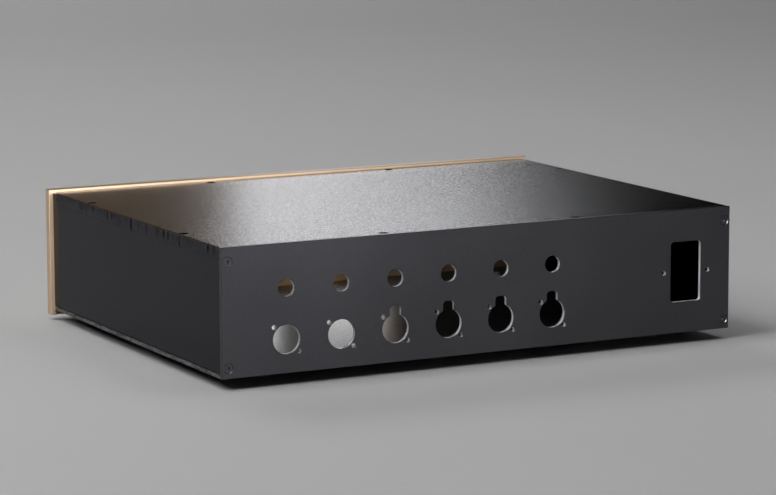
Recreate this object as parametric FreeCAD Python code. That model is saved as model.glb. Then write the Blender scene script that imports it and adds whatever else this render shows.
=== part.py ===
import FreeCAD, Part
import os
from math import acos, cos, radians, sin, sqrt, tan
from FreeCAD import Vector

# Empty equipment chassis: thin sheet cover and folded sides on a frame of square bars,
# a pierced rear plate, a thick front plate and four rubber feet.
# Millimetres. X to the right as seen from behind, +Y towards the front plate, +Z up.
# The origin is on the ground, under the middle of the overall box.

# Overall body
chassis_width = 438.0
chassis_depth = 327.0          # rear plate's outer face to the front plate's back
chassis_height = 96.9          # underside of the bottom plate to the top of the cover
seam = 0.3                     # open joint between neighbouring sheets
lip_seam = 0.1                 # open joint under the cover's lips

# Front plate
front_thickness = 8.0
front_side_overhang = 3.5
front_top_overhang = 2.0
front_bottom_overhang = 4.0
front_face_bevel = 0.8
front_back_bevel = 0.4

# Sheets and plates
rear_thickness = 3.0
rear_edge_bevel = 0.3
bottom_thickness = 3.0
side_thickness = 1.2
side_bend_radius = 0.3         # inside of the fold
side_flange_width = 16.0
cover_thickness = 1.0
cover_bend_radius = 0.1        # inside of the fold
cover_lip_height = 9.5

# Frame bars
bar_width = 8.0
bar_edge_bevel = 0.5           # clears the inside of the cover's folds
side_bar_height = 13.0
cross_bar_width = 14.0
cross_bar_height = 10.0
post_depth = 12.0
post_foot_bevel = 0.6          # clears the inside of the side panel's fold

# Rear cut-outs, measured from the plate's left and lower edges
column_count = 6
plain_column_count = 2         # round connector holes without a key slot
first_column = 52.2
column_pitch = 45.0
jack_height = 63.5
jack_radius = 6.5
connector_height = 25.3
connector_radius = 11.0
connector_screw_radius = 1.8
connector_screw_web = 1.1      # metal left between the connector hole and its screw holes
connector_screw_angle = 43.3   # the pair's slope, down to the right, in degrees
key_slot_width = 9.4
key_slot_rise = 6.2            # slot's top above the connector hole's top
key_slot_corner = 2.7
inlet_from_right = 40.4        # its middle, from the plate's right edge
inlet_height_middle = 48.2
inlet_width = 27.5
inlet_height = 47.4
inlet_corner = 2.5
inlet_screw_margin = 6.25      # screw hole's centre beyond the inlet's edge
inlet_screw_radius = 1.75

# Screws: M4 countersunk at the rear, M4 cap screws at the front, M3 elsewhere
m4_radius = 2.0
m4_head_radius = 3.5
m4_socket = 2.5
m3_radius = 1.5
m3_head_radius = 3.0
m3_socket = 2.0
shank_clearance = 0.25         # drilled hole over the shank
thread_clearance = 0.05        # tapped hole over the shank
tap_runout = 1.5               # tapped hole beyond the screw's end
socket_depth = 1.6
head_bevel = 0.4
rear_screw_length = 12.0
rear_screw_sink = 0.5          # head's face below the plate's surface
rear_screw_low = 3.5           # above the post's foot
cap_head_margin = 0.5          # head inside the post's width
cap_head_height = 4.0
cap_socket = 3.0
cap_socket_depth = 2.2
front_screw_cover = 2.0        # metal left in front of the screw's end
front_screw_inset = 14.0       # from the ends of the front posts
joint_screw_grip = 8.0
cover_screw_sink = 0.6         # head's face below the cover
cover_screw_grip = 6.0
cover_side_spacing = 179.0     # between the two screws along each side
cover_end_spacing = 166.0      # between the two screws along the front and the rear
cover_side_margin = 4.7        # screw row's middle from the cover's side
cover_rear_margin = 4.5        # screw row's middle from the rear plate
cover_front_margin = 9.5       # screw row's middle from the front plate
bottom_screw_count = 4         # along each side
bottom_screw_margin = 22.0     # first screw beyond the posts
bottom_nut_radius = 2.8
bottom_nut_height = 2.4

# Feet
foot_height = 8.5
foot_base_radius = 11.0
foot_top_radius = 13.0
foot_recess_radius = 6.0
foot_head_clearance = 1.6      # screw head above the ground
foot_inset_side = 50.0
foot_inset_end = 45.0
foot_head_radius = 3.5
foot_head_height = 2.4
washer_margin = 0.5            # washer inside the recess
washer_thickness = 1.0
nut_across_flats = 7.0
nut_height = 3.2
nut_bevel = 0.4
foot_screw_spare = 0.8         # thread showing above the nut

# Faces and levels that the pieces share
rear_face = -(chassis_depth + front_thickness) / 2
rear_inside = rear_face + rear_thickness
front_back = rear_face + chassis_depth
front_face = front_back + front_thickness
side_face = chassis_width / 2
side_inside = side_face - side_thickness
bar_inside = side_inside - bar_width
bar_centre = side_inside - bar_width / 2
base_level = foot_height
floor_level = base_level + bottom_thickness
flange_level = floor_level + side_thickness
top_level = base_level + chassis_height
cover_seat = top_level - cover_thickness
side_bar_base = cover_seat - side_bar_height
cross_bar_base = cover_seat - cross_bar_height
web_top = top_level - cover_lip_height - lip_seam
joint_screw_level = cover_seat - cross_bar_height / 2
flange_middle = side_inside - (side_bend_radius + side_flange_width - side_thickness) / 2
cap_head_radius = bar_width / 2 - cap_head_margin
front_screw_grip = front_thickness - front_screw_cover
inlet_screw_spacing = inlet_width + 2 * inlet_screw_margin
washer_seat = foot_head_clearance + foot_head_height
foot_recess_depth = washer_seat + washer_thickness
foot_web = foot_height - foot_recess_depth

outward = {"left": Vector(-1, 0, 0), "right": Vector(1, 0, 0), "rear": Vector(0, -1, 0),
           "front": Vector(0, 1, 0), "up": Vector(0, 0, 1), "down": Vector(0, 0, -1)}


def block(x_range, y_range, z_range):
    size = [high - low for low, high in (x_range, y_range, z_range)]
    return Part.makeBox(*size, Vector(x_range[0], y_range[0], z_range[0]))


def aimed(shape, place, direction):
    """The shape with its own +Z turned to a direction, then moved to its place."""
    turn = FreeCAD.Rotation(Vector(0, 0, 1), outward[direction])
    return shape.transformed(FreeCAD.Placement(place, turn).toMatrix())


def hole(place, direction, radius, depth):
    """A drilled hole: it starts at the surface and runs inward, against its direction."""
    return aimed(Part.makeCylinder(radius, depth, Vector(0, 0, -depth)), place, direction)


def sunk_recess(place, direction, face_radius, hole_radius):
    """A 90 degree countersink from the surface down to the hole's radius."""
    depth = face_radius - hole_radius
    return aimed(Part.makeCone(hole_radius, face_radius, depth, Vector(0, 0, -depth)), place, direction)


def hexagon(across_flats, height, base=0.0):
    corner = across_flats / sqrt(3)
    ring = [Vector(corner, 0, base)]
    for step in range(6):
        ring.append(FreeCAD.Rotation(Vector(0, 0, 1), 60).multVec(ring[step]))
    return Part.Face(Part.makePolygon(ring)).extrude(Vector(0, 0, height))


def sunk_screw(radius, head_radius, length, socket):
    """A countersunk screw hanging from its head's flat face at z = 0."""
    cone_depth = head_radius - radius
    head = Part.makeCone(radius, head_radius, cone_depth, Vector(0, 0, -cone_depth))
    shank = Part.makeCylinder(radius, length, Vector(0, 0, -length))
    return head.fuse(shank).cut(hexagon(socket, socket_depth, -socket_depth)).removeSplitter()


def headed_screw(radius, head_radius, head_height, head_bevel, length, socket, depth):
    """A screw with a flat-seated head standing on z = 0 and its shank below."""
    head = Part.makeCylinder(head_radius, head_height)
    rim = [edge for edge in head.Edges if edge.BoundBox.ZMin > head_height / 2]
    head = head.makeChamfer(head_bevel, rim)
    shank = Part.makeCylinder(radius, length, Vector(0, 0, -length))
    return head.fuse(shank).cut(hexagon(socket, depth, head_height - depth)).removeSplitter()


def rounded_path(points, radius):
    """Straight runs joined by arcs of one radius at every inner corner."""
    edges = []
    start = points[0]
    for before, corner, after in zip(points, points[1:], points[2:]):
        back = (before - corner).normalize()
        ahead = (after - corner).normalize()
        half = acos(back.dot(ahead)) / 2
        run = radius / tan(half)
        middle = corner + (back + ahead).normalize() * (sqrt(radius ** 2 + run ** 2) - radius)
        edges.append(Part.LineSegment(start, corner + back * run).toShape())
        start = corner + ahead * run
        edges.append(Part.Arc(corner + back * run, middle, start).toShape())
    edges.append(Part.LineSegment(start, points[-1]).toShape())
    return edges


def folded_sheet(outline, thickness, inside_radius, y_range):
    """Sheet folded along Y. The outline (x, z) follows its outer face and turns left at each fold."""
    outer = [Vector(x, y_range[0], z) for x, z in outline]
    normals = []
    for start, end in zip(outer, outer[1:]):
        run = (end - start).normalize()
        normals.append(Vector(-run.z, 0, run.x))
    shifts = [normals[0]] + [(a + b) / (1 + a.dot(b)) for a, b in zip(normals, normals[1:])] + [normals[-1]]
    inner = [point + shift * thickness for point, shift in zip(outer, shifts)]
    edges = rounded_path(outer, inside_radius + thickness)
    edges += rounded_path(inner, inside_radius)
    for end in (0, -1):
        edges.append(Part.LineSegment(outer[end], inner[end]).toShape())
    face = Part.Face(Part.Wire(Part.__sortEdges__(edges)))
    return face.extrude(Vector(0, y_range[1] - y_range[0], 0))


def mirrored(shape):
    return shape.mirror(Vector(0, 0, 0), Vector(1, 0, 0))


def both_sides(x):
    return (-x, x)


def rear_screw_places():
    high = (side_bar_base + joint_screw_level - m3_radius) / 2
    levels = (flange_level + rear_screw_low, high)
    return [Vector(x, rear_face, z) for x in both_sides(bar_centre) for z in levels]


def front_screw_places():
    levels = (flange_level + front_screw_inset, side_bar_base - front_screw_inset)
    return [Vector(x, front_back - post_depth, z) for x in both_sides(bar_centre) for z in levels]


def cover_side_screw_places():
    middle = (rear_inside + front_back) / 2
    ends = (middle - cover_side_spacing / 2, middle + cover_side_spacing / 2)
    return [Vector(x, y, top_level) for x in both_sides(side_face - cover_side_margin) for y in ends]


def cover_end_screw_places():
    rows = (rear_inside + cover_rear_margin, front_back - cover_front_margin)
    return [Vector(x, y, top_level) for y in rows for x in both_sides(cover_end_spacing / 2)]


def joint_screw_places():
    """Screws through the side bars into the cross bars' ends, behind the cover's lips."""
    rows = (rear_inside + cross_bar_width / 2, front_back - cross_bar_width / 2)
    return [Vector(x, y, joint_screw_level) for x in both_sides(side_inside) for y in rows]


def bottom_screw_places():
    first = rear_inside + post_depth + bottom_screw_margin
    last = front_back - post_depth - bottom_screw_margin
    step = (last - first) / (bottom_screw_count - 1)
    rows = [first + step * index for index in range(bottom_screw_count)]
    return [Vector(x, y, base_level) for x in both_sides(flange_middle) for y in rows]


def foot_places():
    rows = {"rear": rear_face + foot_inset_end, "front": front_back - foot_inset_end}
    columns = {"left": -(side_face - foot_inset_side), "right": side_face - foot_inset_side}
    return {row + "_" + column: Vector(columns[column], rows[row], 0) for row in rows for column in columns}


def outward_x(place):
    return "right" if place.x > 0 else "left"


def near(places, x):
    return [place for place in places if place.x * x > 0]


def front_plate():
    low = base_level - front_bottom_overhang
    high = top_level + front_top_overhang
    half = side_face + front_side_overhang
    plate = block((-half, half), (front_back, front_face), (low, high))
    face_edges = [edge for edge in plate.Edges if edge.BoundBox.YMin > front_face - front_thickness / 2]
    plate = plate.makeChamfer(front_face_bevel, face_edges)
    back_edges = [edge for edge in plate.Edges if edge.BoundBox.YMax < front_back + front_back_bevel / 2]
    plate = plate.makeChamfer(front_back_bevel, back_edges)
    depth = front_screw_grip + thread_clearance
    for place in front_screw_places():
        start = Vector(place.x, front_back, place.z)
        plate = plate.cut(hole(start, "rear", m4_radius + thread_clearance, depth))
    return plate


def rounded_rectangle(centre_x, centre_z, width, height, corner):
    cutter = block((centre_x - width / 2, centre_x + width / 2), (rear_face, rear_inside),
                   (centre_z - height / 2, centre_z + height / 2))
    uprights = [edge for edge in cutter.Edges if edge.BoundBox.YLength > rear_thickness / 2]
    return cutter.makeFillet(corner, uprights)


def key_slot(centre):
    """The upright slot above a connector hole, with rounded upper corners."""
    half = key_slot_width / 2
    slot = block((centre.x - half, centre.x + half), (rear_face, rear_inside),
                 (centre.z, centre.z + connector_radius + key_slot_rise))
    top_corners = [edge for edge in slot.Edges
                   if edge.BoundBox.YLength > rear_thickness / 2 and edge.BoundBox.ZMin > centre.z]
    return slot.makeFillet(key_slot_corner, top_corners)


def connector_cutters(column):
    """One column of the pattern: jack hole, connector hole, its key slot and its two screw holes."""
    x = -side_face + first_column + column * column_pitch
    jack = Vector(x, rear_face, base_level + jack_height)
    centre = Vector(x, rear_face, base_level + connector_height)
    distance = connector_radius + connector_screw_web + connector_screw_radius
    slope = radians(connector_screw_angle)
    offset = Vector(-cos(slope), 0, sin(slope)) * distance
    cutters = [hole(jack, "rear", jack_radius, rear_thickness)]
    opening = hole(centre, "rear", connector_radius, rear_thickness)
    if column >= plain_column_count:
        opening = opening.fuse(key_slot(centre)).removeSplitter()
    cutters.append(opening)
    for place in (centre + offset, centre - offset):
        cutters.append(hole(place, "rear", connector_screw_radius, rear_thickness))
    return cutters


def inlet_cutters():
    x = side_face - inlet_from_right
    z = base_level + inlet_height_middle
    cutters = [rounded_rectangle(x, z, inlet_width, inlet_height, inlet_corner)]
    for side in both_sides(inlet_screw_spacing / 2):
        cutters.append(hole(Vector(x + side, rear_face, z), "rear", inlet_screw_radius, rear_thickness))
    return cutters


def rear_plate():
    plate = block((-side_face, side_face), (rear_face, rear_inside), (base_level, top_level))
    cutters = inlet_cutters()
    for column in range(column_count):
        cutters += connector_cutters(column)
    plate = plate.cut(cutters)
    outer_edges = [edge for edge in plate.Edges if edge.BoundBox.YMax < rear_face + rear_edge_bevel / 2]
    plate = plate.makeChamfer(rear_edge_bevel, outer_edges)
    for place in rear_screw_places():
        hole_radius = m4_radius + shank_clearance
        plate = plate.cut(sunk_recess(place, "rear", m4_head_radius + rear_screw_sink, hole_radius))
        plate = plate.cut(hole(place, "rear", hole_radius, rear_thickness))
    return plate


def right_side_sheet():
    """Web with its lower edge folded inward under the posts."""
    outline = [(side_face - side_flange_width, floor_level), (side_face, floor_level), (side_face, web_top)]
    sheet = folded_sheet(outline, side_thickness, side_bend_radius, (rear_inside, front_back))
    for place in near(bottom_screw_places(), side_face):
        start = Vector(place.x, place.y, floor_level)
        sheet = sheet.cut(hole(start, "down", m3_radius + shank_clearance, side_thickness))
    return sheet


def cover_screw_recess(place):
    """Countersink through the thin cover and on into the bar below it."""
    return sunk_recess(place, "up", m3_head_radius + cover_screw_sink, m3_radius + thread_clearance)


def cover_sheet():
    """Flat top with both long edges folded down as lips, flush with the side panels."""
    outline = [(side_face, top_level - cover_lip_height), (side_face, top_level),
               (-side_face, top_level), (-side_face, top_level - cover_lip_height)]
    ends = (rear_inside + seam, front_back - seam)
    sheet = folded_sheet(outline, cover_thickness, cover_bend_radius, ends)
    for place in cover_side_screw_places() + cover_end_screw_places():
        sheet = sheet.cut(cover_screw_recess(place))
        sheet = sheet.cut(hole(place, "up", m3_radius + shank_clearance, cover_thickness))
    return sheet


def bottom_sheet():
    ends = (rear_inside + seam, front_back - seam)
    plate = block((-side_face, side_face), ends, (base_level, floor_level))
    for place in bottom_screw_places():
        hole_radius = m3_radius + shank_clearance
        plate = plate.cut(sunk_recess(place, "down", m3_head_radius, hole_radius))
        plate = plate.cut(hole(place, "down", hole_radius, bottom_thickness))
    for place in foot_places().values():
        start = Vector(place.x, place.y, base_level)
        plate = plate.cut(hole(start, "down", m4_radius + shank_clearance, bottom_thickness))
    return plate


def right_side_bar():
    """Bar under the cover's long edge, tapped for the rear plate and the cover."""
    bar = block((bar_inside, side_inside), (rear_inside, front_back), (side_bar_base, cover_seat))
    top_edge = [edge for edge in bar.Edges
                if edge.BoundBox.ZMin > cover_seat - bar_edge_bevel and edge.BoundBox.XMin > bar_centre]
    bar = bar.makeChamfer(bar_edge_bevel, top_edge)
    rear_reach = rear_screw_sink + rear_screw_length - rear_thickness + tap_runout
    for place in near(rear_screw_places(), side_face):
        if place.z > side_bar_base:
            start = Vector(place.x, rear_inside, place.z)
            bar = bar.cut(hole(start, "rear", m4_radius + thread_clearance, rear_reach))
    for place in near(cover_side_screw_places(), side_face):
        start = Vector(place.x, place.y, cover_seat)
        bar = bar.cut(cover_screw_recess(place))
        bar = bar.cut(hole(start, "up", m3_radius + thread_clearance, cover_screw_grip + tap_runout))
    for place in near(joint_screw_places(), side_face):
        hole_radius = m3_radius + shank_clearance
        bar = bar.cut(sunk_recess(place, "right", m3_head_radius, hole_radius))
        bar = bar.cut(hole(place, "right", hole_radius, bar_width))
    return bar


def cross_bar(y_range):
    """Bar between the side bars, tapped at its ends and for the cover."""
    bar = block((-bar_inside, bar_inside), y_range, (cross_bar_base, cover_seat))
    reach = joint_screw_grip + tap_runout
    for place in joint_screw_places():
        if y_range[0] < place.y < y_range[1]:
            start = Vector(bar_inside if place.x > 0 else -bar_inside, place.y, place.z)
            bar = bar.cut(hole(start, outward_x(place), m3_radius + thread_clearance, reach))
    for place in cover_end_screw_places():
        if y_range[0] < place.y < y_range[1]:
            start = Vector(place.x, place.y, cover_seat)
            bar = bar.cut(cover_screw_recess(place))
            bar = bar.cut(hole(start, "up", m3_radius + thread_clearance, cover_screw_grip + tap_runout))
    return bar


def right_post(y_range):
    """Corner post standing on the side panel's flange, under the side bar."""
    post = block((bar_inside, side_inside), y_range, (flange_level, side_bar_base))
    foot_edge = [edge for edge in post.Edges
                 if edge.BoundBox.ZMax < flange_level + side_thickness and edge.BoundBox.XMin > bar_centre]
    return post.makeChamfer(post_foot_bevel, foot_edge)


def right_rear_post():
    post = right_post((rear_inside, rear_inside + post_depth))
    reach = rear_screw_sink + rear_screw_length - rear_thickness + tap_runout
    for place in near(rear_screw_places(), side_face):
        if place.z < side_bar_base:
            start = Vector(place.x, rear_inside, place.z)
            post = post.cut(hole(start, "rear", m4_radius + thread_clearance, reach))
    return post


def right_front_post():
    post = right_post((front_back - post_depth, front_back))
    for place in near(front_screw_places(), side_face):
        post = post.cut(hole(place, "rear", m4_radius + shank_clearance, post_depth))
    return post


def foot(place):
    """Tapered rubber foot, hollow below for its screw."""
    pad = Part.makeCone(foot_base_radius, foot_top_radius, foot_height)
    pad = pad.cut(Part.makeCylinder(foot_recess_radius, foot_recess_depth))
    pad = pad.cut(Part.makeCylinder(m4_radius + shank_clearance, foot_height))
    pad.translate(place)
    return pad


def foot_washer():
    ring = Part.makeCylinder(foot_recess_radius - washer_margin, washer_thickness)
    return ring.cut(Part.makeCylinder(m4_radius + shank_clearance, washer_thickness))


def foot_nut():
    nut = hexagon(nut_across_flats, nut_height)
    nut = nut.cut(Part.makeCylinder(m4_radius + thread_clearance, nut_height))
    corner = nut_across_flats / sqrt(3)
    crown = Part.makeCone(corner, corner - nut_bevel, nut_bevel, Vector(0, 0, nut_height - nut_bevel))
    crown = crown.fuse(Part.makeCylinder(corner, nut_height - nut_bevel))
    return nut.common(crown.removeSplitter())


def sheet_nut():
    """Round nut pressed into the side panel's flange."""
    nut = Part.makeCylinder(bottom_nut_radius, bottom_nut_height)
    return nut.cut(Part.makeCylinder(m3_radius + thread_clearance, bottom_nut_height))


def rear_screws():
    screw = sunk_screw(m4_radius, m4_head_radius, rear_screw_length, m4_socket)
    sink = Vector(0, rear_screw_sink, 0)
    return [aimed(screw, place + sink, "rear") for place in rear_screw_places()]


def front_screws():
    screw = headed_screw(m4_radius, cap_head_radius, cap_head_height, head_bevel,
                         post_depth + front_screw_grip, cap_socket, cap_socket_depth)
    return [aimed(screw, place, "rear") for place in front_screw_places()]


def joint_screws():
    screw = sunk_screw(m3_radius, m3_head_radius, bar_width + joint_screw_grip, m3_socket)
    return [aimed(screw, place, outward_x(place)) for place in joint_screw_places()]


def cover_screws():
    length = cover_thickness + cover_screw_grip - cover_screw_sink
    screw = sunk_screw(m3_radius, m3_head_radius, length, m3_socket)
    sink = Vector(0, 0, -cover_screw_sink)
    places = cover_side_screw_places() + cover_end_screw_places()
    return [aimed(screw, place + sink, "up") for place in places]


def bottom_screws():
    length = bottom_thickness + side_thickness + bottom_nut_height
    screw = sunk_screw(m3_radius, m3_head_radius, length, m3_socket)
    return [aimed(screw, place, "down") for place in bottom_screw_places()]


def bottom_nuts():
    return [aimed(sheet_nut(), Vector(place.x, place.y, flange_level), "up")
            for place in bottom_screw_places()]


def foot_screws():
    length = washer_thickness + foot_web + bottom_thickness + nut_height + foot_screw_spare
    screw = headed_screw(m4_radius, foot_head_radius, foot_head_height, head_bevel, length,
                         m4_socket, socket_depth)
    return [aimed(screw, Vector(place.x, place.y, washer_seat), "down") for place in foot_places().values()]


def foot_washers():
    return [aimed(foot_washer(), Vector(place.x, place.y, washer_seat), "up")
            for place in foot_places().values()]


def foot_nuts():
    return [aimed(foot_nut(), Vector(place.x, place.y, floor_level), "up")
            for place in foot_places().values()]


def build_pieces():
    side, bar = right_side_sheet(), right_side_bar()
    rear_post, front_post = right_rear_post(), right_front_post()
    pieces = {
        "front_panel": front_plate(),
        "rear_panel": rear_plate(),
        "top_cover": cover_sheet(),
        "bottom_plate": bottom_sheet(),
        "left_side_panel": mirrored(side),
        "right_side_panel": side,
        "left_side_bar": mirrored(bar),
        "right_side_bar": bar,
        "rear_cross_bar": cross_bar((rear_inside, rear_inside + cross_bar_width)),
        "front_cross_bar": cross_bar((front_back - cross_bar_width, front_back)),
        "rear_left_post": mirrored(rear_post),
        "rear_right_post": rear_post,
        "front_left_post": mirrored(front_post),
        "front_right_post": front_post,
        "rear_panel_screws": Part.makeCompound(rear_screws()),
        "front_panel_screws": Part.makeCompound(front_screws()),
        "frame_joint_screws": Part.makeCompound(joint_screws()),
        "cover_screws": Part.makeCompound(cover_screws()),
        "bottom_plate_screws": Part.makeCompound(bottom_screws()),
        "bottom_plate_nuts": Part.makeCompound(bottom_nuts()),
        "foot_screws": Part.makeCompound(foot_screws()),
        "foot_washers": Part.makeCompound(foot_washers()),
        "foot_nuts": Part.makeCompound(foot_nuts()),
    }
    for corner, place in foot_places().items():
        pieces[corner + "_foot"] = foot(place)
    return pieces


os.makedirs("parts", exist_ok=True)
for name, shape in build_pieces().items():
    shape.exportStep("parts/" + name + ".step")
    print(name, "solids", len(shape.Solids), "valid", shape.isValid(), "volume", round(shape.Volume, 1))
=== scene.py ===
import math
import bpy
from mathutils import Matrix, Vector


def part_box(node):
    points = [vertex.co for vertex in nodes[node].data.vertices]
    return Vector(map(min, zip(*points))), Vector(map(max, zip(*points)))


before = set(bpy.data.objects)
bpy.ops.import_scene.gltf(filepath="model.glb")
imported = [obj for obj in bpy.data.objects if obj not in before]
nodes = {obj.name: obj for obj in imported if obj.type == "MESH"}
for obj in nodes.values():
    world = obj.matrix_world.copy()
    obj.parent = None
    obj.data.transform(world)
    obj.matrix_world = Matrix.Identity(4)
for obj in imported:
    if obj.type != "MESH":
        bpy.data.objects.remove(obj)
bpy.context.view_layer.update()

scene = bpy.context.scene
print("chassis loaded:", len(nodes), "nodes")


# Shader helpers. Every pattern runs on object coordinates, so its scale is in marks per metre.
noiseSpan = (0.3, 0.7)  # nearly all of a noise lies between these


def addNode(tree, kind, inputs=(), **settings):
    node = tree.nodes.new("ShaderNode" + kind)
    for name, value in settings.items():
        setattr(node, name, value)
    for socket, value in dict(inputs).items():
        if isinstance(value, bpy.types.NodeSocket):
            tree.links.new(value, node.inputs[socket])
        else:
            node.inputs[socket].default_value = value
    return node


def startFinish(name, sockets):
    material = bpy.data.materials.new(name)
    material.use_nodes = True
    shader = material.node_tree.nodes["Principled BSDF"]
    for socket, value in sockets.items():
        shader.inputs[socket].default_value = value
    return material, material.node_tree, shader


def feed(tree, shader, colour, roughness, normal):
    for socket, value in (("Base Color", colour), ("Roughness", roughness), ("Normal", normal)):
        tree.links.new(value, shader.inputs[socket])


def noise(tree, perMetre, detail=3.0, roughness=0.6, stretch=(1, 1, 1)):
    place = addNode(tree, "TexCoord").outputs["Object"]
    place = addNode(tree, "VectorMath", {0: place, 1: stretch}, operation="MULTIPLY").outputs[0]
    inputs = {"Vector": place, "Scale": perMetre, "Detail": detail, "Roughness": roughness}
    return addNode(tree, "TexNoise", inputs).outputs["Fac"]


def spread(tree, value, source, target=(0.0, 1.0)):
    inputs = {"Value": value, "From Min": source[0], "From Max": source[1],
              "To Min": target[0], "To Max": target[1]}
    return addNode(tree, "MapRange", inputs).outputs["Result"]


def maths(tree, how, first, second=0.0):
    return addNode(tree, "Math", {0: first, 1: second}, operation=how).outputs[0]


def above(tree, value, limit):
    return maths(tree, "GREATER_THAN", value, limit)


def below(tree, value, limit):
    return maths(tree, "LESS_THAN", value, limit)


def allOf(tree, first, *others):
    for mask in others:
        first = maths(tree, "MULTIPLY", first, mask)
    return first


def blendColour(tree, amount, first, second):
    mix = addNode(tree, "Mix", {"Factor": amount}, data_type="RGBA")
    for socket, value in ((mix.inputs[6], first), (mix.inputs[7], second)):  # its two colour sockets
        if isinstance(value, bpy.types.NodeSocket):
            tree.links.new(value, socket)
        else:
            socket.default_value = (*value, 1.0)
    return mix.outputs[2]


def bumpFrom(tree, height, depth):
    return addNode(tree, "Bump", {"Height": height, "Distance": depth}).outputs["Normal"]


# Which way the surface faces and where it is, each as X, Y and Z
def facingAndPlace(tree):
    surface = addNode(tree, "NewGeometry").outputs
    return [addNode(tree, "SeparateXYZ", {0: surface[name]}).outputs for name in ("True Normal", "Position")]


# Coated sheet of the cover and the sides. An edge tone is what the coat gives back at a low angle.
sheetCoat = {
    "colour": (0.017, 0.0175, 0.019),
    "speckColour": (0.030, 0.031, 0.033),
    "speckSpan": (0.35, 0.70),
    "roughness": (0.17, 0.25),
    "grain": {"perMetre": 400.0, "detail": 4.0, "roughness": 0.65},
    "grainDepth": 0.00006,
    "edge": (0.77, 0.77, 0.79),
    # black for the lip streaks, and painted shade in the screw recesses and on the sides' inner faces
    "streakAndShadeTone": (0.0, 0.0, 0.0),
}


def coatedSheet(name):
    look = sheetCoat
    material, tree, shader = startFinish(name, {"Metallic": 1.0})
    grain = noise(tree, **look["grain"])
    specks = blendColour(tree, spread(tree, grain, look["speckSpan"]), look["colour"], look["speckColour"])
    return material, tree, shader, grain, specks


def feedSheet(tree, shader, grain, colour, edge):
    feed(tree, shader, colour, spread(tree, grain, noiseSpan, sheetCoat["roughness"]),
         bumpFrom(tree, grain, sheetCoat["grainDepth"]))
    tree.links.new(edge, shader.inputs["Specular Tint"])


coverLook = {
    "edge": (1.0, 1.0, 1.0),
    "speckEdge": (0.55, 0.55, 0.55),
    "edgeSpan": (0.44, 0.56),
    "lipTurn": 0.6,  # a face turned sideways by more than this is on the lip
    "streaks": {"perMetre": 210.0, "detail": 2.0, "roughness": 0.5, "stretch": (0, 1, 0)},
    "streakSpan": (0.52, 0.60),
    "lengths": {"perMetre": 70.0, "detail": 2.0, "roughness": 0.5, "stretch": (0, 1, 0)},
    "lengthSpan": (0.35, 0.65),
    "streakLength": (0.002, 0.011),
    "streakFade": 0.0008,
    "streakStrength": 0.4,
    # the fold's paler tone is a painted highlight
    "foldHighlightTone": (0.14, 0.14, 0.15),
    "foldTurn": (0.1, 0.97),  # upward turn of the surface at the fold's foot and top
    "bendSize": 0.0011,
}


# Downward streaks on the lip, black walls in the screw recesses as painted shade, a paler grey line along the
# fold as a painted highlight
def coverFinish(name):
    look = coverLook
    material, tree, shader, grain, colour = coatedSheet(name)
    facing, place = facingAndPlace(tree)
    low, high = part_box("top_cover")
    sideways = maths(tree, "ABSOLUTE", place["X"])
    onLip = above(tree, maths(tree, "ABSOLUTE", facing["X"]), look["lipTurn"])
    depth = maths(tree, "SUBTRACT", high.z, place["Z"])
    length = spread(tree, noise(tree, **look["lengths"]), look["lengthSpan"], look["streakLength"])
    past = maths(tree, "SUBTRACT", depth, length)
    fade = look["streakFade"]
    streaks = allOf(tree, onLip, spread(tree, past, (-fade, fade), (1.0, 0.0)),
                    spread(tree, noise(tree, **look["streaks"]), look["streakSpan"]))
    tilted = below(tree, facing["Z"], look["foldTurn"][1])
    # painted shade: the walls of the screw recesses are made black, colour and low-angle tone alike
    recessShade = allOf(tree, tilted, below(tree, sideways, high.x - look["bendSize"]),
                   above(tree, place["Y"], low.y + look["bendSize"]),
                   above(tree, place["Z"], high.z - look["bendSize"]))
    # painted highlight: the bend from top to lip takes the paler fold tone
    foldHighlight = allOf(tree, tilted, above(tree, facing["Z"], look["foldTurn"][0]),
                 above(tree, sideways, high.x - look["bendSize"]))
    streaksAndShade = maths(tree, "MAXIMUM", maths(tree, "MULTIPLY", streaks, look["streakStrength"]), recessShade)
    colour = blendColour(tree, foldHighlight, colour, look["foldHighlightTone"])
    colour = blendColour(tree, streaksAndShade, colour, sheetCoat["streakAndShadeTone"])
    edge = blendColour(tree, spread(tree, grain, look["edgeSpan"]), look["speckEdge"], look["edge"])
    edge = blendColour(tree, onLip, edge, sheetCoat["edge"])
    feedSheet(tree, shader, grain, colour, blendColour(tree, streaksAndShade, edge, sheetCoat["streakAndShadeTone"]))
    return material


# the inner face's black tone and dim low-angle tone are painted shade
sideLook = {"innerShadeEdge": (0.3, 0.3, 0.3), "innerTurn": -0.5}


# The sides are darker on the face that looks into the case: painted shade inside the case
def sideFinish(name):
    look = sideLook
    material, tree, shader, grain, colour = coatedSheet(name)
    facing, place = facingAndPlace(tree)
    outward = maths(tree, "MULTIPLY", facing["X"], maths(tree, "SIGN", place["X"]))
    insideShade = below(tree, outward, look["innerTurn"])
    feedSheet(tree, shader, grain, blendColour(tree, insideShade, colour, sheetCoat["streakAndShadeTone"]),
              blendColour(tree, insideShade, sheetCoat["edge"], look["innerShadeEdge"]))
    return material


# The bottom plate's coat is mottled with pale grain; the paleness is painted light, and it shows through the
# cut-outs
bottomCoat = {
    "colour": (0.030, 0.029, 0.032),
    # the pale mottle tone is partly grain, partly painted light on the floor of the case
    "shade": (0.17, 0.168, 0.172),
    "mottleAndLightSpan": (0.38, 0.62),
    "edge": (1.0, 1.0, 1.0),
    "grainEdge": (0.7, 0.7, 0.71),
    "roughness": (0.30, 0.42),
    "grain": {"perMetre": 450.0, "stretch": (1.0, 0.5, 1.0)},
    "grainDepth": 0.00012,
}


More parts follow.
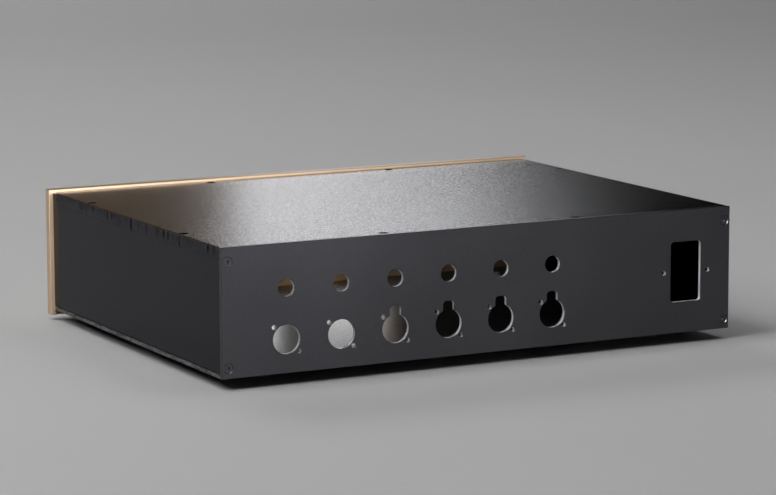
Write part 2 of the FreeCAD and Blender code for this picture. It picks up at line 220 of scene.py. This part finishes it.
def bottomFinish(name):
    look = bottomCoat
    material, tree, shader = startFinish(name, {"Metallic": 1.0})
    grain = noise(tree, **look["grain"])
    mottleAndLight = spread(tree, grain, look["mottleAndLightSpan"])
    feed(tree, shader, blendColour(tree, mottleAndLight, look["colour"], look["shade"]),
         spread(tree, grain, noiseSpan, look["roughness"]), bumpFrom(tree, grain, look["grainDepth"]))
    tree.links.new(blendColour(tree, mottleAndLight, look["grainEdge"], look["edge"]), shader.inputs["Specular Tint"])
    return material


# Black rear plate, pale where its cut-outs go through
rearPlate = {
    "colour": (0.041, 0.040, 0.045),
    "speckColour": (0.075, 0.074, 0.08),
    "speckShare": (0.0, 0.35),
    "roughness": (0.29, 0.32),
    "grain": {"perMetre": 1400.0},
    "grainDepth": 0.000008,
    "clouds": {"perMetre": 11.0, "detail": 2.0, "roughness": 0.5},
    "bareColour": (0.97, 0.98, 1.0),
    "bareRoughness": 0.38,
    "bareMetal": 0.0,
    "wallTurn": 0.5,  # a face turned less than this to the rear is a wall
    "rim": 0.0004,  # the plate's own edges stay black
}


def rearFinish(name):
    look = rearPlate
    material, tree, shader = startFinish(name, {"Metallic": 1.0})
    low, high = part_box("rear_panel")
    facing, place = facingAndPlace(tree)
    grain = noise(tree, **look["grain"])
    bare = allOf(tree, below(tree, maths(tree, "ABSOLUTE", facing["Y"]), look["wallTurn"]),
                 below(tree, maths(tree, "ABSOLUTE", place["X"]), high.x - look["rim"]),
                 below(tree, place["Z"], high.z - look["rim"]), above(tree, place["Z"], low.z + look["rim"]))
    black = blendColour(tree, spread(tree, grain, noiseSpan, look["speckShare"]), look["colour"],
                        look["speckColour"])
    rough = spread(tree, noise(tree, **look["clouds"]), noiseSpan, look["roughness"])
    extra = maths(tree, "MULTIPLY", bare, look["bareRoughness"] - look["roughness"][1])
    feed(tree, shader, blendColour(tree, bare, black, look["bareColour"]), maths(tree, "ADD", rough, extra),
         bumpFrom(tree, grain, look["grainDepth"]))
    tree.links.new(spread(tree, bare, (0.0, 1.0), (1.0, look["bareMetal"])), shader.inputs["Metallic"])
    return material


# Champagne anodised front plate, fine blasted
frontPlate = {
    "colour": (0.43, 0.315, 0.215),
    "shade": (0.395, 0.282, 0.188),
    "roughness": (0.38, 0.44),
    "grain": {"perMetre": 1200.0},
    "grainDepth": 0.00002,
    "clouds": {"perMetre": 25.0, "detail": 2.0, "roughness": 0.5},
    "coatWeight": 0.5,
    "coatRoughness": 0.30,
}


def frontFinish(name):
    look = frontPlate
    material, tree, shader = startFinish(name, {"Metallic": 1.0, "Coat Weight": look["coatWeight"],
                                                "Coat Roughness": look["coatRoughness"]})
    grain = noise(tree, **look["grain"])
    clouds = noise(tree, **look["clouds"])
    feed(tree, shader, blendColour(tree, grain, look["colour"], look["shade"]),
         spread(tree, clouds, noiseSpan, look["roughness"]), bumpFrom(tree, grain, look["grainDepth"]))
    return material


# Frame bars and corner posts, with draw lines along their length
extruded = {
    "colour": (0.62, 0.63, 0.65),
    "shade": (0.48, 0.49, 0.51),
    "roughness": (0.28, 0.45),
    "linesPerMetre": 2500.0,
    "drawnOut": 0.02,
    "lineDepth": 0.00001,
}


def barFinish(name, alongX):
    look = extruded
    material, tree, shader = startFinish(name, {"Metallic": 1.0})
    stretch = (look["drawnOut"], 1.0, 1.0) if alongX else (1.0, look["drawnOut"], 1.0)
    lines = noise(tree, look["linesPerMetre"], stretch=stretch)
    feed(tree, shader, blendColour(tree, lines, look["colour"], look["shade"]),
         spread(tree, lines, noiseSpan, look["roughness"]), bumpFrom(tree, lines, look["lineDepth"]))
    return material


# Screws, nuts and washers
screwSkin = {"patches": {"perMetre": 900.0, "detail": 4.0}, "patchSpan": (0.35, 0.75), "depth": 0.00001,
             "gloss": 0.0}
# black screws made near-black and without sheen, the screw skin's gloss at nought: their black finish,
# darkened further as painted shade in the cover's screw recesses
blackShadedScrew = {"colour": (0.004, 0.004, 0.0045), "shade": (0.010, 0.010, 0.011), "roughness": (0.7, 0.85),
              "metal": 0.0}
rearScrew = {"colour": (0.040, 0.039, 0.044), "shade": (0.052, 0.051, 0.056), "roughness": (0.29, 0.33),
             "metal": 1.0}
zincScrew = {"colour": (0.60, 0.61, 0.63), "shade": (0.42, 0.43, 0.46), "roughness": (0.25, 0.42),
             "metal": 1.0}


def screwFinish(name, look):
    sockets = {"Metallic": look["metal"], "Specular IOR Level": screwSkin["gloss"]}
    material, tree, shader = startFinish(name, sockets)
    patches = noise(tree, **screwSkin["patches"])
    share = spread(tree, patches, screwSkin["patchSpan"])
    feed(tree, shader, blendColour(tree, share, look["colour"], look["shade"]),
         spread(tree, patches, noiseSpan, look["roughness"]), bumpFrom(tree, patches, screwSkin["depth"]))
    return material


# Rubber feet
footRubber = {
    "colour": (0.014, 0.014, 0.015),
    "shade": (0.028, 0.028, 0.029),
    "roughness": (0.65, 0.85),
    "gloss": 0.3,
    "pores": {"perMetre": 1600.0},
    "poreDepth": 0.00004,
}


def footFinish(name):
    look = footRubber
    material, tree, shader = startFinish(name, {"Metallic": 0.0, "Specular IOR Level": look["gloss"]})
    pores = noise(tree, **look["pores"])
    feed(tree, shader, blendColour(tree, pores, look["colour"], look["shade"]),
         spread(tree, pores, noiseSpan, look["roughness"]), bumpFrom(tree, pores, look["poreDepth"]))
    return material


def dress(material, *names):
    for name in names:
        nodes[name].data.materials.clear()
        nodes[name].data.materials.append(material)


dress(coverFinish("coverCoat"), "top_cover")
dress(sideFinish("sheetCoat"), "left_side_panel", "right_side_panel")
dress(bottomFinish("bottomCoat"), "bottom_plate")
dress(rearFinish("rearBlack"), "rear_panel")
dress(frontFinish("champagne"), "front_panel")
dress(barFinish("barAlongX", True), "rear_cross_bar", "front_cross_bar")
dress(barFinish("barAlongY", False), "left_side_bar", "right_side_bar", "rear_left_post", "rear_right_post",
      "front_left_post", "front_right_post")
dress(screwFinish("blackShadedScrew", blackShadedScrew), "cover_screws", "bottom_plate_screws")
dress(screwFinish("rearScrew", rearScrew), "rear_panel_screws")
dress(screwFinish("zincScrew", zincScrew), "front_panel_screws", "frame_joint_screws", "bottom_plate_nuts",
      "foot_screws", "foot_washers", "foot_nuts")
dress(footFinish("footRubber"), "rear_left_foot", "rear_right_foot", "front_left_foot", "front_right_foot")
print("finishes done:", len(bpy.data.materials))


# Pale matt floor
floorLook = {
    "size": 24.0,
    "colour": (0.456, 0.456, 0.456),
    "shade": (0.434, 0.434, 0.434),
    "gloss": 0.0,
    "clouds": {"perMetre": 3.0, "detail": 4.0, "roughness": 0.5},
}


def floorFinish():
    look = floorLook
    material, tree, shader = startFinish("paleFloor", {"Specular IOR Level": look["gloss"]})
    clouds = noise(tree, **look["clouds"])
    tree.links.new(blendColour(tree, clouds, look["colour"], look["shade"]), shader.inputs["Base Color"])
    return material


def layFloor():
    half = floorLook["size"] / 2
    mesh = bpy.data.meshes.new("floor")
    corners = [(-half, -half, 0), (half, -half, 0), (half, half, 0), (-half, half, 0)]
    mesh.from_pydata(corners, [], [(0, 1, 2, 3)])
    floor = bpy.data.objects.new("floor", mesh)
    scene.collection.objects.link(floor)
    mesh.materials.append(floorFinish())


# Glowing cards that only reflections show: two beyond the front plate, and a dim sky on the other three sides
sky = {"away": 7.0, "sideEnd": 2.5, "low": 0.8, "high": 7.0, "strength": 0.2}


def upright(start, end, low, high):
    return [(*start, low), (*end, low), (*end, high), (*start, high)]


def skyCard(start, end):
    return {"corners": upright(start, end, sky["low"], sky["high"]), "strength": sky["strength"]}


cardsMeet = (3.02, 6.86)  # the bright back card and the warm one share this upright edge
cards = {
    "backCard": {"corners": [(*cardsMeet, 0.73), (3.68, 6.52, 1.25), (4.20, 6.25, 2.40), (*cardsMeet, 2.07)],
                 "strength": 2.85, "glow": (0.97, 0.97, 1.0)},
    "warmCard": {"corners": upright((-6.16, 6.43), cardsMeet, 0.3, 8.0), "strength": 0.17,
                 "glow": (1.0, 0.72, 0.50)},
    "frontSky": skyCard((-sky["away"], -sky["away"]), (sky["away"], -sky["away"])),
    "rightSky": skyCard((sky["away"], -sky["away"]), (sky["away"], sky["sideEnd"])),
    "leftSky": skyCard((-sky["away"], -sky["away"]), (-sky["away"], sky["sideEnd"])),
}


def hangCard(name, corners, strength, glow=(1.0, 1.0, 1.0)):
    mesh = bpy.data.meshes.new(name)
    mesh.from_pydata(corners, [], [(0, 1, 2, 3)])
    card = bpy.data.objects.new(name, mesh)
    scene.collection.objects.link(card)
    sockets = {"Base Color": (0, 0, 0, 1), "Emission Color": (*glow, 1), "Emission Strength": strength}
    mesh.materials.append(startFinish(name + "Glow", sockets)[0])
    card.visible_camera = False
    card.visible_diffuse = False
    card.visible_shadow = False


# A light stands at a place, or on a dome about the case: turned from +X, raised above level, so far off
caseMiddle = (0, 0, 0.05)


def around(turn, rise, reach=2.6):
    turn, rise = math.radians(turn), math.radians(rise)
    ray = Vector((math.cos(turn) * math.cos(rise), math.sin(turn) * math.cos(rise), math.sin(rise)))
    return Vector(caseMiddle) + ray * reach


# Lights that are off the floor show in gloss alone, those out of the gloss light matt surfaces alone
boxSize = (1.2, 0.9)
nearSize = (0.7, 0.5)
farSize = (3.0, 3.0)
lights = {
    "lowLeftGlow": {"place": around(180, 14), "watts": 74.0, "onFloor": False},
    "lowBackGlow": {"place": around(150, 14), "watts": 22.6, "onFloor": False},
    "nearGlow": {"place": around(-104, 30, 1.7), "size": nearSize, "watts": 24.0, "onFloor": False},
    "closeGlow": {"place": (-0.270, -0.850, 0.500), "size": (0.4, 0.3), "watts": 25.0, "onFloor": False},
    "lowNearGlow": {"place": around(-80, 14, 1.7), "size": nearSize, "watts": 14.6, "onFloor": False},
    "highGlow": {"place": around(-110, 40), "watts": 75.0, "onFloor": False},
    "nearBox": {"place": around(-80, 14, 1.7), "size": nearSize, "watts": 9.5},
    "leftTopBox": {"place": around(180, 62), "watts": 27.2, "inGloss": False},
    "leftBox": {"place": around(190, 40), "watts": 19.1, "inGloss": False},
    "rightTopBox": {"place": around(0, 62), "watts": 8.1, "inGloss": False},
    "backBox": {"place": around(90, 40), "watts": 6.8, "inGloss": False},
    "topBox": {"place": around(240, 62), "watts": 2.5, "inGloss": False},
    "rightBox": {"place": around(-30, 40), "watts": 2.1, "inGloss": False},
    "farRight": {"place": (8.0, 11.0, 3.5), "aim": (8.0, 11.0, 0), "size": farSize, "watts": 480.0,
                 "inGloss": False},
    "farMiddle": {"place": (0, 5.0, 3.5), "aim": (0, 5.0, 0), "size": farSize, "watts": 126.0,
                  "inGloss": False},
    # small lamps inside the case, whose light shows through the cut-outs
    "insideLeft": {"place": (-0.0615, 0.150, 0.052), "aim": (-0.0615, 0, 0.052), "size": (0.075, 0.038),
                   "watts": 0.062},
    "insideMiddle": {"place": (0.033, 0.150, 0.052), "aim": (0.033, 0, 0.052), "size": (0.046, 0.038),
                     "watts": 0.024},
    "insideRight": {"place": (0.070, 0.150, 0.052), "aim": (0.070, 0, 0.052), "size": (0.020, 0.038),
                    "watts": 0.0085, "colour": (1.0, 0.88, 0.80)},
    "insideWarm": {"place": (0.060, 0.060, 0.035), "aim": (0.01, 0.1595, 0.014), "size": (0.02, 0.02),
                   "watts": 0.010, "colour": (1.0, 0.82, 0.66)},
}


def softLight(name, place, watts, size=boxSize, aim=caseMiddle, colour=(1, 1, 1), onFloor=True,
              inGloss=True):
    light = bpy.data.lights.new(name, "AREA")
    light.shape = "RECTANGLE"
    light.size, light.size_y = size
    light.energy = watts
    light.color = colour
    lamp = bpy.data.objects.new(name, light)
    scene.collection.objects.link(lamp)
    direction = Vector(aim) - Vector(place)
    lamp.matrix_world = Matrix.Translation(place) @ direction.to_track_quat("-Z", "Y").to_matrix().to_4x4()
    lamp.visible_camera = False
    lamp.visible_diffuse = onFloor
    lamp.visible_glossy = inGloss


for cardName, setting in cards.items():
    hangCard(cardName, **setting)
layFloor()
for lightName, setting in lights.items():
    softLight(lightName, **setting)
print("floor, cards and lights done:", len(cards) + len(lights))

# The room itself gives no light
room = bpy.data.worlds.new("room")
scene.world = room
room.use_nodes = True
room.node_tree.nodes["Background"].inputs["Strength"].default_value = 0.0
scene.view_settings.view_transform = "Standard"

view = {"place": (-1.1557, -2.2280, 0.4660), "turn": (80.9370, 0.1525, -27.5235), "lens": 147.356,
        "sensor": 36.0, "farthest": 60.0}
camera = bpy.data.objects.new("camera", bpy.data.cameras.new("camera"))
camera.data.lens = view["lens"]
camera.data.sensor_width = view["sensor"]
camera.data.clip_end = view["farthest"]
camera.location = view["place"]
camera.rotation_euler = [math.radians(angle) for angle in view["turn"]]
scene.collection.objects.link(camera)
scene.camera = camera
print("camera done")
